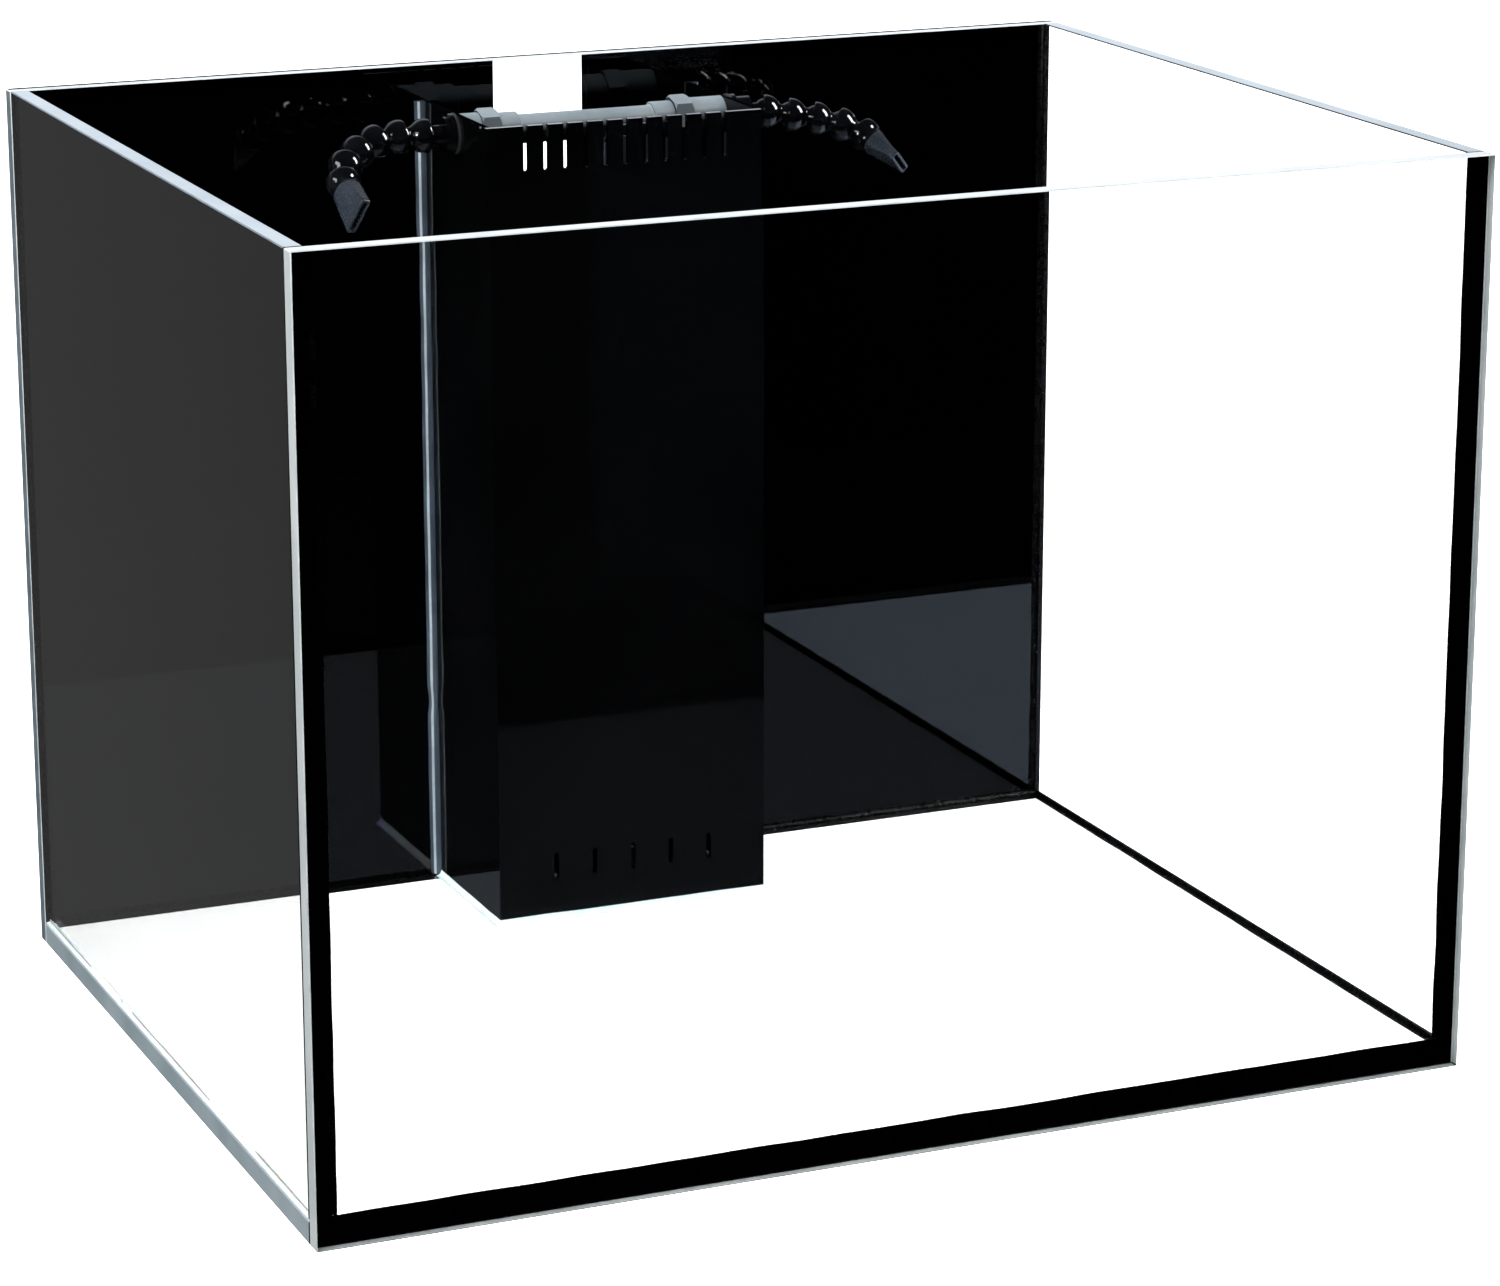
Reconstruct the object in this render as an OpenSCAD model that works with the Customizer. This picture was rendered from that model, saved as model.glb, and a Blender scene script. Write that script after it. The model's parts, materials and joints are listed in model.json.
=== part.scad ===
// Rimless glass aquarium with a black back, an internal overflow box and a
// two-outlet return manifold with ball-and-socket hose nozzles.
// Frame: origin at the centre of the footprint, on the underside of the bottom
// pane. +X is to the right seen from the front, +Y to the back, +Z up.

/* [Tank] */
// Outside width of the tank
tank_w = 780; // [620:10:1000]
// Outside depth from the front pane to the back film
tank_d = 610; // [500:10:700]
// Outside height of the tank
tank_h = 600; // [500:10:700]
// Thickness of the four wall panes
glass_t = 12; // [10:1:15]
// Thickness of the bottom pane
bottom_t = 15; // [12:1:19]
// Width of the ground arris on every glass edge
arris = 0.7; // [0.3:0.1:1.2]

/* [Silicone] */
// Thickness of the bond line between two panes
bond_t = 1; // [0.5:0.1:2]
// Leg of the fillet along each inside corner
bead = 4; // [3:0.5:6]
// Thickness left at the feathered edge of a fillet
bead_edge = 0.3; // [0.2:0.1:0.5]

/* [Back film] */
// Thickness of the black film on the outside of the back pane
film_t = 0.4; // [0.2:0.1:1]
// Width of the clear window left in the film
window_w = 66; // [20:2:90]
// Depth of the window below the rim
window_h = 110; // [60:5:200]
// Offset of the window from the middle of the tank
window_x = -12; // [-40:2:40]

/* [Overflow box] */
// Outside width of the overflow box
box_w = 200; // [180:2:240]
// Outside depth of the box, from the inside of the back pane
box_d = 127; // [110:1:150]
// Distance from the tank rim down to the top of the box
box_drop = 25; // [15:1:60]
// Thickness of the acrylic
acrylic_t = 4; // [3:1:6]
// Number of comb slots along the top edge
slot_count = 11; // [5:2:13]
// Distance between neighbouring comb slots
slot_pitch = 14.4; // [10:0.2:16]
// Width of every slot
slot_w = 3.6; // [2:0.1:5]
// Depth of the comb slots
slot_depth = 31; // [20:1:60]
// Length of the low slots
low_slot_h = 19; // [10:1:40]
// Height of the low slots above the bottom pane
low_slot_z = 29; // [15:1:60]
// Radius of the clear quarter-round strips behind the box
strip_r = 6; // [4:0.5:10]

/* [Return plumbing] */
// Outside diameter of the return pipe
pipe_od = 20; // [18:1:22]
// Wall thickness of the return pipe
pipe_wall = 2; // [1.5:0.1:3]
// Distance from the tank rim down to the pipe axis
pipe_drop = 38; // [34:1:80]
// Distance of the pipe axis in front of the back pane
pipe_back = 64; // [50:1:80]
// X position of the left end of the bare pipe
pipe_left = -55; // [-60:1:-45]
// X position of the right end of the bare pipe
pipe_right = 43; // [40:1:55]
// X position of the riser pipe
riser_x = 23; // [15:1:30]

/* [Drain] */
// Outside diameter of the standpipe
drain_od = 32; // [25:1:40]
// X position of the standpipe
drain_x = -60; // [-65:1:-50]
// Height of the top of the standpipe above the tank floor
drain_h = 465; // [300:5:480]

/* [Ball-and-socket hose] */
// Distance between neighbouring ball centres
hose_pitch = 18; // [17:0.5:20]
// Outside radius of a socket
socket_r = 11.8; // [11.6:0.1:12.2]
// Radius of a ball
ball_r = 9.3; // [9:0.1:9.4]
// Gap between a ball and its socket
ball_gap = 0.3; // [0.2:0.1:0.5]
// Radius of the water way
hose_bore = 5.2; // [4:0.1:5.4]
// Tilt of the plane in which both hoses curl, from vertical
curl_tilt = 60; // [40:5:70]
// Distance of the first left ball from the box
left_reach = 22; // [22:1:30]
// Distance of the first right ball from the box
right_reach = 30; // [22:1:34]
// Width of the flat nozzle mouth
mouth_w = 28; // [20:1:32]

/* [Hidden] */
$fn = 64;

// Bend of each hose joint at rest, from the box to the nozzle
left_bends = [-2, 12, 22, 14, 22, 22];
right_bends = [18, 1, 8, 17, 22];
// Turn of each flat mouth about its nozzle
left_mouth_turn = -15;
right_mouth_turn = 40;

inner_front = -tank_d / 2 + glass_t;
inner_back = tank_d / 2 - film_t - glass_t;
inner_left = -tank_w / 2 + glass_t;
inner_right = tank_w / 2 - glass_t;
wall_z = bottom_t + bond_t;

box_front = inner_back - box_d;
box_top = tank_h - box_drop;
box_side = box_w / 2;
box_inner = box_side - acrylic_t;

pipe_y = inner_back - pipe_back;
pipe_z = tank_h - pipe_drop;
pipe_r = pipe_od / 2;
pipe_bore = pipe_r - pipe_wall;
fit_gap = 0.1;

// Half saddle under the pipe, with the riser standing in its socket
saddle_r = 13;
saddle_l = 32;
saddle_drop = 34;
riser_stop = 15;

// Adaptor: socket for the pipe, hexagon, threaded barrel
adaptor_socket_l = 15;
adaptor_socket_r = 12.2;
adaptor_hex_l = 13.5;
adaptor_hex_r = 16;
adaptor_hex_turn = 45;
adaptor_hex_chamfer = 1.6;
adaptor_barrel_r = 13.2;
thread_r = 10.5;
thread_l = 9;

// Hose base and links
wall_gasket_t = 2;
wall_flange_r = 14;
wall_flange_t = 3.5;
collar_r = 12;
neck_r = 6.7;
socket_rim = 3;
ball_cut = 6.5;

// Flat nozzle
nozzle_l = 36;
shoulder_z = 6;
shoulder_r = 9.6;
mouth_t = 7;
mouth_lip = 4;
mouth_wall = 2;

// Floor fittings inside the box
drain_r = drain_od / 2;
drain_wall = 2.2;
drain_bore = drain_r - drain_wall;
drain_hole_r = 19;
drain_flange_r = 32;
drain_socket_h = 22;
return_hole_r = 13;
return_flange_r = 23;
return_socket_h = 20;
socket_wall = 3;
gasket_t = 2;
gasket_gap = 0.5;
flange_t = 5;
flange_chamfer = 1;
fitting_z = bottom_t + gasket_t + flange_t;

// Strainer on the standpipe
strainer_h = 44;
strainer_lap = 12;
strainer_wall = 2.5;
strainer_slots = 10;
strainer_slot_w = 3;
strainer_margin = 3;
strainer_roof = 7;

glass_colour = [0.72, 0.86, 0.86, 0.3];
edge_clear = [0.86, 0.90, 0.93, 0.7];
silicone_black = [0.03, 0.03, 0.035];
film_black = [0.02, 0.02, 0.022];
acrylic_black = [0.04, 0.045, 0.05];
pvc_grey = [0.62, 0.67, 0.71];
hose_black = [0.06, 0.06, 0.07];
rubber_black = [0.08, 0.08, 0.08];

// ---- Shared shapes ----

// A rectangle with its four corners cut at 45 degrees, from the origin
module cut_rectangle(w, h, c) {
    polygon([[c, 0], [w - c, 0], [w, c], [w, h - c], [w - c, h], [c, h], [0, h - c], [0, c]]);
}

// A glass plate with a ground arris on all twelve edges
module pane(size) {
    intersection() {
        linear_extrude(size[2]) cut_rectangle(size[0], size[1], arris);
        translate([0, size[1], 0]) rotate([90, 0, 0])
            linear_extrude(size[1]) cut_rectangle(size[0], size[2], arris);
        rotate([90, 0, 90]) linear_extrude(size[0]) cut_rectangle(size[1], size[2], arris);
    }
}

// Concave fillet section in the corner at the origin, towards +X and +Y
module bead_section() {
    difference() {
        square(bead);
        translate([bead, bead]) circle(bead - bead_edge);
    }
}

// A fillet of length l along +X, resting on its lower leg and leaning on the Y side
module floor_bead(l) {
    rotate([90, 0, 90]) linear_extrude(l) bead_section();
}

// Round-ended slot outline, standing on its lowest point at the origin
module slot_outline(h) {
    translate([0, slot_w / 2]) circle(slot_w / 2, $fn = 24);
    translate([0, h - slot_w / 2]) circle(slot_w / 2, $fn = 24);
    translate([-slot_w / 2, slot_w / 2]) square([slot_w, h - slot_w]);
}

// A tube along +Z
module tube(outer, inner, l) {
    rotate_extrude() translate([inner, 0]) square([outer - inner, l]);
}

// ---- Glass and film ----

module bottom_pane() {
    color(glass_colour) difference() {
        translate([-tank_w / 2, inner_front + bond_t, 0])
            pane([tank_w, inner_back - inner_front - 2 * bond_t, bottom_t]);
        translate([drain_x, pipe_y, -1]) cylinder(r = drain_hole_r, h = bottom_t + 2);
        translate([riser_x, pipe_y, -1]) cylinder(r = return_hole_r, h = bottom_t + 2);
    }
}

module front_pane() {
    color(glass_colour) translate([-tank_w / 2, -tank_d / 2, 0]) pane([tank_w, glass_t, tank_h]);
}

module back_pane() {
    color(glass_colour) translate([-tank_w / 2, inner_back, 0]) pane([tank_w, glass_t, tank_h]);
}

// A side pane stands on the bottom pane, between the front and back panes
module side_pane(x) {
    color(glass_colour) translate([x, inner_front + bond_t, wall_z])
        pane([glass_t, inner_back - inner_front - 2 * bond_t, tank_h - wall_z]);
}

module left_pane() { side_pane(-tank_w / 2); }

module right_pane() { side_pane(inner_right); }

module back_film() {
    color(film_black) translate([0, tank_d / 2, 0]) rotate([90, 0, 0]) linear_extrude(film_t)
        difference() {
            translate([-tank_w / 2 + arris, arris]) square([tank_w - 2 * arris, tank_h - 2 * arris]);
            translate([window_x - window_w / 2, tank_h - window_h]) square([window_w, window_h]);
        }
}

// ---- Silicone seams ----

// Bond line and fillet of a vertical corner, drawn for the front left corner
module corner_seam() {
    translate([-tank_w / 2 + arris, inner_front, bottom_t])
        cube([glass_t - arris, bond_t, tank_h - bottom_t - arris]);
    translate([inner_left, inner_front, bottom_t + bead])
        linear_extrude(tank_h - bottom_t - bead - arris) bead_section();
}

module seam_front_left() { color(silicone_black) corner_seam(); }

module seam_front_right() { color(silicone_black) mirror([1, 0, 0]) corner_seam(); }

module seam_back_left() {
    color(silicone_black) translate([0, inner_back + inner_front, 0])
        mirror([0, 1, 0]) corner_seam();
}

module seam_back_right() {
    color(silicone_black) translate([0, inner_back + inner_front, 0])
        mirror([0, 1, 0]) mirror([1, 0, 0]) corner_seam();
}

// Bond line and fillet between the bottom pane and the front pane
module long_floor_seam() {
    translate([-tank_w / 2 + arris, inner_front, arris])
        cube([tank_w - 2 * arris, bond_t, bottom_t - arris]);
    translate([inner_left, inner_front, bottom_t]) floor_bead(inner_right - inner_left);
}

module seam_bottom_front() { color(silicone_black) long_floor_seam(); }

// The back fillet stops where the side walls of the overflow box meet the back pane
module seam_bottom_back() {
    color(silicone_black) difference() {
        translate([0, inner_back + inner_front, 0]) mirror([0, 1, 0]) long_floor_seam();
        for (side = [0, 1]) mirror([side, 0, 0])
            translate([box_inner, inner_back - 2 * bead, bottom_t])
                cube([acrylic_t + strip_r, 2 * bead, 2 * bead]);
    }
}

// Bond line and fillet under the left pane
module side_floor_seam() {
    translate([-tank_w / 2 + arris, inner_front + bond_t, bottom_t])
        cube([glass_t - arris, inner_back - inner_front - 2 * bond_t, bond_t]);
    translate([inner_left, inner_back - bead, bottom_t]) rotate([0, 0, -90])
        floor_bead(inner_back - inner_front - 2 * bead);
}

module seam_bottom_left() { color(edge_clear) side_floor_seam(); }

module seam_bottom_right() { color(silicone_black) mirror([1, 0, 0]) side_floor_seam(); }

// ---- Overflow box ----

module overflow_front() {
    color(acrylic_black) translate([0, box_front + acrylic_t, 0]) rotate([90, 0, 0])
        linear_extrude(acrylic_t) difference() {
            translate([-box_side, wall_z]) square([box_w, box_top - wall_z]);
            for (i = [0 : slot_count - 1])
                translate([(i - (slot_count - 1) / 2) * slot_pitch, box_top - slot_depth])
                    slot_outline(slot_depth + slot_w);
            for (i = [1 : 2 : slot_count - 2])
                translate([(i - (slot_count - 1) / 2) * slot_pitch, bottom_t + low_slot_z])
                    slot_outline(low_slot_h);
        }
}

module overflow_side(x) {
    color(acrylic_black) translate([x, 0, 0]) rotate([90, 0, 90]) linear_extrude(acrylic_t)
        difference() {
            translate([box_front + acrylic_t, wall_z])
                square([box_d - acrylic_t - bond_t, box_top - wall_z]);
            translate([pipe_y, pipe_z]) circle(thread_r + fit_gap);
        }
}

module overflow_left() { overflow_side(-box_side); }

module overflow_right() { overflow_side(box_inner); }

// Bond line behind a side wall and the clear quarter-round outside the corner
module overflow_strip() {
    translate([box_inner, inner_back - bond_t, wall_z])
        cube([acrylic_t, bond_t, box_top - wall_z]);
    translate([box_side, inner_back, wall_z]) linear_extrude(box_top - wall_z)
        intersection() {
            circle(strip_r);
            translate([0, -strip_r]) square(strip_r);
        }
}

module overflow_strip_left() { color(edge_clear) mirror([1, 0, 0]) overflow_strip(); }

module overflow_strip_right() { color(edge_clear) overflow_strip(); }

// Clear bond line under the three walls, with a fillet outside them
module overflow_base_bead() {
    color(edge_clear) {
        translate([0, 0, bottom_t]) linear_extrude(bond_t) difference() {
            translate([-box_side, box_front]) square([box_w, box_d]);
            translate([-box_inner, box_front + acrylic_t]) square([2 * box_inner, box_d]);
        }
        translate([box_side, box_front, bottom_t]) rotate([0, 0, 180]) floor_bead(box_w);
        for (side = [0, 1]) mirror([side, 0, 0]) {
            translate([box_side, box_front, bottom_t]) rotate([0, 0, -90])
                rotate_extrude(angle = 90) bead_section();
            translate([box_side, inner_back - strip_r, bottom_t]) rotate([0, 0, -90])
                floor_bead(box_d - strip_r);
        }
    }
}

// ---- Return plumbing ----

module return_pipe() {
    color(pvc_grey) difference() {
        translate([pipe_left - adaptor_socket_l + 2, pipe_y, pipe_z]) rotate([0, 90, 0])
            tube(pipe_r, pipe_bore, pipe_right - pipe_left + 2 * adaptor_socket_l - 4);
        translate([riser_x, pipe_y, pipe_z - pipe_r - 1]) cylinder(r = pipe_bore, h = pipe_r);
    }
}

// Half saddle glued under the pipe, with a socket for the riser
module return_saddle() {
    color(pvc_grey) translate([riser_x, pipe_y, pipe_z]) difference() {
        union() {
            difference() {
                translate([-saddle_l / 2, 0, 0]) rotate([0, 90, 0])
                    cylinder(r = saddle_r, h = saddle_l);
                translate([-saddle_l, -2 * saddle_r, 0])
                    cube([2 * saddle_l, 4 * saddle_r, 2 * saddle_r]);
            }
            translate([0, 0, -saddle_drop]) cylinder(r = saddle_r, h = saddle_drop - pipe_bore);
        }
        translate([-saddle_l, 0, 0]) rotate([0, 90, 0])
            cylinder(r = pipe_r + fit_gap, h = 2 * saddle_l);
        translate([0, 0, -saddle_drop - 1])
            cylinder(r = pipe_r + fit_gap, h = saddle_drop + 1 - riser_stop);
        translate([0, 0, -saddle_drop]) cylinder(r = pipe_bore, h = saddle_drop);
    }
}

module return_riser() {
    color(pvc_grey) translate([riser_x, pipe_y, fitting_z])
        tube(pipe_r, pipe_bore, pipe_z - riser_stop - fit_gap - fitting_z);
}

// A floor flange with a socket: the pipe stands on the ledge inside it
module floor_flange(x, flange_r, pipe_outer, pipe_inner, socket_h) {
    c = flange_chamfer;
    bore = pipe_outer + fit_gap;
    outer = bore + socket_wall;
    color(pvc_grey) translate([x, pipe_y, bottom_t + gasket_t]) rotate_extrude()
        polygon([[pipe_inner, 0], [flange_r - c, 0], [flange_r, c], [flange_r, flange_t - c],
            [flange_r - c, flange_t], [outer, flange_t], [outer, flange_t + socket_h],
            [bore, flange_t + socket_h], [bore, flange_t], [pipe_inner, flange_t]]);
}

module floor_gasket(x, outer, inner) {
    color(rubber_black) translate([x, pipe_y, bottom_t]) tube(outer, inner, gasket_t);
}

module return_flange() {
    floor_flange(riser_x, return_flange_r, pipe_r, pipe_bore, return_socket_h);
}

module return_gasket() { floor_gasket(riser_x, return_flange_r, return_hole_r + gasket_gap); }

// Adaptor along +X from the end of the pipe's bare stretch to the wall of the box
module adaptor(start) {
    barrel_start = adaptor_socket_l + adaptor_hex_l;
    l = box_inner - start;
    c = adaptor_hex_chamfer;
    color(pvc_grey) translate([start, pipe_y, pipe_z]) rotate([0, 90, 0]) difference() {
        union() {
            rotate_extrude() polygon([[0, 0], [adaptor_socket_r - arris, 0],
                [adaptor_socket_r, arris], [adaptor_socket_r, adaptor_socket_l + 1],
                [0, adaptor_socket_l + 1]]);
            translate([0, 0, adaptor_socket_l]) intersection() {
                rotate([0, 0, adaptor_hex_turn])
                    cylinder(r = adaptor_hex_r, h = adaptor_hex_l, $fn = 6);
                rotate_extrude() polygon([[0, 0], [adaptor_hex_r - c, 0], [adaptor_hex_r, c],
                    [adaptor_hex_r, adaptor_hex_l - c], [adaptor_hex_r - c, adaptor_hex_l],
                    [0, adaptor_hex_l]]);
            }
            translate([0, 0, barrel_start - 1])
                cylinder(r = adaptor_barrel_r, h = l - barrel_start + 1);
        }
        translate([0, 0, -1]) cylinder(r = pipe_r + fit_gap, h = adaptor_socket_l);
        translate([0, 0, -1]) cylinder(r = pipe_bore, h = l + 2);
        translate([0, 0, l - thread_l]) cylinder(r = thread_r + fit_gap, h = thread_l + 1);
    }
}

module adaptor_left() { mirror([1, 0, 0]) adaptor(-pipe_left); }

module adaptor_right() { adaptor(pipe_right); }

module wall_gasket() {
    color(rubber_black) translate([box_side, pipe_y, pipe_z]) rotate([0, 90, 0])
        tube(wall_flange_r, thread_r + fit_gap, wall_gasket_t);
}

module wall_gasket_left() { mirror([1, 0, 0]) wall_gasket(); }

module wall_gasket_right() { wall_gasket(); }

// ---- Ball-and-socket hose ----

// Ball at the height z of a turned profile, cut flat at its open end
module ball(z) {
    translate([0, 0, z]) rotate_extrude() intersection() {
        circle(ball_r);
        translate([0, -ball_r]) square([ball_r, ball_r + ball_cut]);
    }
}

// Socket shell around the origin, open towards -Z
module socket() {
    rotate_extrude() intersection() {
        circle(socket_r);
        translate([0, -socket_rim]) square([socket_r, socket_r + socket_rim]);
    }
}

// Threaded spigot, flange, collar and the first ball, along +Z from inside the wall
module hose_base(reach) {
    flange_z = acrylic_t + wall_gasket_t;
    ball_z = acrylic_t + reach;
    neck_z = ball_z - socket_r - 1.5;
    color(hose_black) difference() {
        union() {
            translate([0, 0, -thread_l + 0.5]) cylinder(r = thread_r, h = flange_z + thread_l - 0.5);
            translate([0, 0, flange_z]) cylinder(r = wall_flange_r, h = wall_flange_t);
            translate([0, 0, flange_z])
                cylinder(r = collar_r, h = max(neck_z - flange_z, wall_flange_t));
            translate([0, 0, flange_z]) cylinder(r = neck_r, h = ball_z - flange_z);
            ball(ball_z);
        }
        translate([0, 0, -thread_l]) cylinder(r = hose_bore, h = ball_z + thread_l + ball_r);
    }
}

module hose_element() {
    color(hose_black) difference() {
        union() {
            socket();
            cylinder(r = neck_r, h = hose_pitch);
            ball(hose_pitch);
        }
        sphere(ball_r + ball_gap);
        cylinder(r = hose_bore, h = hose_pitch + ball_r);
    }
}

// Flat nozzle: a socket that runs out into a wide, thin mouth
module nozzle(turn) {
    color(hose_black) difference() {
        union() {
            socket();
            rotate([0, 0, turn]) hull() {
                translate([0, 0, shoulder_z]) cylinder(r = shoulder_r, h = 1, $fn = 32);
                translate([-mouth_t / 2, -mouth_w / 2, nozzle_l - mouth_lip])
                    cube([mouth_t, mouth_w, mouth_lip]);
            }
        }
        sphere(ball_r + ball_gap);
        rotate([0, 0, turn]) hull() {
            translate([0, 0, shoulder_z]) cylinder(r = hose_bore, h = 1, $fn = 32);
            translate([mouth_wall - mouth_t / 2, mouth_wall - mouth_w / 2, nozzle_l])
                cube([mouth_t - 2 * mouth_wall, mouth_w - 2 * mouth_wall, 1]);
        }
    }
}

// Places its children on the wall of the box: -1 is the left wall, 1 the right.
// Local +Z points out of the box and local +X towards the inside of the curl.
module on_wall(side, out) {
    translate([side * (box_inner + out), pipe_y, pipe_z]) rotate([0, side * 90, 0])
        rotate([0, 0, side < 0 ? 180 + curl_tilt : -curl_tilt]) children();
}

// Places its children at hose joint i, after bending at joints k to i
module at_joint(bends, i, k = 0) {
    rotate([0, bends[k], 0]) {
        if (k == i) children();
        else translate([0, 0, hose_pitch]) at_joint(bends, i, k + 1) children();
    }
}

module on_left_hose(i) {
    on_wall(-1, acrylic_t + left_reach) at_joint(left_bends, i) children();
}

module on_right_hose(i) {
    on_wall(1, acrylic_t + right_reach) at_joint(right_bends, i) children();
}

module hose_base_left() { on_wall(-1, 0) hose_base(left_reach); }

module hose_base_right() { on_wall(1, 0) hose_base(right_reach); }

module hose_left(i) { on_left_hose(i) hose_element(); }

module hose_right(i) { on_right_hose(i) hose_element(); }

module nozzle_left() { on_left_hose(5) nozzle(left_mouth_turn); }

module nozzle_right() { on_right_hose(4) nozzle(right_mouth_turn); }

// ---- Drain ----

module drain_flange() {
    floor_flange(drain_x, drain_flange_r, drain_r, drain_bore, drain_socket_h);
}

module drain_gasket() { floor_gasket(drain_x, drain_flange_r, drain_hole_r + gasket_gap); }

module standpipe() {
    color(pvc_grey) translate([drain_x, pipe_y, fitting_z])
        tube(drain_r, drain_bore, bottom_t + drain_h - fitting_z);
}

// Slotted cap over the open end of the standpipe
module strainer() {
    inner = drain_r + fit_gap;
    outer = inner + strainer_wall;
    slot_z = strainer_lap + strainer_margin;
    color(pvc_grey) translate([drain_x, pipe_y, bottom_t + drain_h - strainer_lap]) difference() {
        rotate_extrude() polygon([[0, strainer_h - strainer_wall], [inner, strainer_h - strainer_wall],
            [inner, 0], [outer, 0], [outer, strainer_h - flange_chamfer],
            [outer - flange_chamfer, strainer_h], [0, strainer_h]]);
        for (i = [0 : strainer_slots - 1]) rotate([0, 0, i * 360 / strainer_slots])
            translate([drain_r / 2, -strainer_slot_w / 2, slot_z])
                cube([drain_r, strainer_slot_w, strainer_h - strainer_roof - slot_z]);
    }
}

bottom_pane();
front_pane();
back_pane();
left_pane();
right_pane();
back_film();
seam_front_left();
seam_front_right();
seam_back_left();
seam_back_right();
seam_bottom_front();
seam_bottom_back();
seam_bottom_left();
seam_bottom_right();
overflow_front();
overflow_left();
overflow_right();
overflow_strip_left();
overflow_strip_right();
overflow_base_bead();
return_pipe();
return_saddle();
return_riser();
return_flange();
return_gasket();
adaptor_left();
adaptor_right();
wall_gasket_left();
wall_gasket_right();
hose_base_left();
hose_base_right();
hose_left(0);  // hose_left_1
hose_left(1);  // hose_left_2
hose_left(2);  // hose_left_3
hose_left(3);  // hose_left_4
hose_left(4);  // hose_left_5
nozzle_left();
hose_right(0);  // hose_right_1
hose_right(1);  // hose_right_2
hose_right(2);  // hose_right_3
hose_right(3);  // hose_right_4
nozzle_right();
drain_flange();
drain_gasket();
standpipe();
strainer();
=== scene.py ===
"""Looks of the rimless aquarium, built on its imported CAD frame. Metres, +X right, +Y back, +Z up."""

import json
import math

import bmesh
import bpy
from mathutils import Matrix, Vector, noise


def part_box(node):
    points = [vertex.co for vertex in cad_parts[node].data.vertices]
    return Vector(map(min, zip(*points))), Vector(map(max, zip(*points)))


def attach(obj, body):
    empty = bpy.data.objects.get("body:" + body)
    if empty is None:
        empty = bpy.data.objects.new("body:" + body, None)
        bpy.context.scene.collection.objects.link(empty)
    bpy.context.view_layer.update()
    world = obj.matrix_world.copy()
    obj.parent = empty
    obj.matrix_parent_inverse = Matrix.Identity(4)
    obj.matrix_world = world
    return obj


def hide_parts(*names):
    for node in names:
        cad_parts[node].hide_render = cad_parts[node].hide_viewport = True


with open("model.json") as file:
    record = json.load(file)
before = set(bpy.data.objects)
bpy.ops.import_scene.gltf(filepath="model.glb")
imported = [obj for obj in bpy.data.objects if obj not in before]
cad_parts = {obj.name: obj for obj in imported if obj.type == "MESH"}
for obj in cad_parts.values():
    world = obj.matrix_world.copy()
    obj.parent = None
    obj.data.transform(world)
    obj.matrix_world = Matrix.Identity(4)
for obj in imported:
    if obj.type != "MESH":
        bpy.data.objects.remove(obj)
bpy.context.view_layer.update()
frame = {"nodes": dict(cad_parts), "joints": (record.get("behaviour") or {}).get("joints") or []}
nodes = frame["nodes"]
MM = 0.001

# ---- Camera, at the photograph's viewing angle ----

CAMERA_PLACE = Vector((-1.195, -2.8156, 1.118))
CAMERA_TURN = math.radians(23.34)
CAMERA_DIP = math.radians(15.83)
CAMERA_LENS = 115.2

ahead = Vector(
    (
        math.sin(CAMERA_TURN) * math.cos(CAMERA_DIP),
        math.cos(CAMERA_TURN) * math.cos(CAMERA_DIP),
        -math.sin(CAMERA_DIP),
    )
)
across = Vector((math.cos(CAMERA_TURN), -math.sin(CAMERA_TURN), 0))
up = across.cross(ahead)
camera = bpy.data.objects.new("camera", bpy.data.cameras.new("camera"))
camera.data.lens = CAMERA_LENS
camera.data.sensor_width = 36
camera.matrix_world = Matrix.Translation(CAMERA_PLACE) @ Matrix((across, up, -ahead)).transposed().to_4x4()
bpy.context.scene.collection.objects.link(camera)
bpy.context.scene.camera = camera
bpy.context.scene.view_settings.view_transform = "Standard"


# ---- Materials ----


def node_of(tree, kind, **values):
    """A new shader node with some of its sockets set."""
    made = tree.nodes.new(kind)
    for key, value in values.items():
        made.inputs[key.replace("_", " ")].default_value = value
    return made


def noise_of(tree, scale, detail=4.0, stretch=(1, 1, 1)):
    """Noise in the piece's own coordinates. scale is features per metre."""
    coords = tree.nodes.new("ShaderNodeTexCoord")
    mapping = node_of(tree, "ShaderNodeMapping", Scale=stretch)
    made = node_of(tree, "ShaderNodeTexNoise", Scale=scale, Detail=detail)
    tree.links.new(coords.outputs["Object"], mapping.inputs["Vector"])
    tree.links.new(mapping.outputs["Vector"], made.inputs["Vector"])
    return made.outputs["Fac"]


def spread(tree, value, low, high, start=0.35, end=0.65):
    """value from start to end, laid out from low to high."""
    made = node_of(tree, "ShaderNodeMapRange", From_Min=start, From_Max=end, To_Min=low, To_Max=high)
    tree.links.new(value, made.inputs["Value"])
    return made.outputs["Result"]


def blend_colour(tree, factor, dark, light):
    made = tree.nodes.new("ShaderNodeMix")
    made.data_type = "RGBA"
    made.inputs["A"].default_value = (*dark, 1)
    made.inputs["B"].default_value = (*light, 1)
    tree.links.new(factor, made.inputs["Factor"])
    return made.outputs["Result"]


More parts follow.
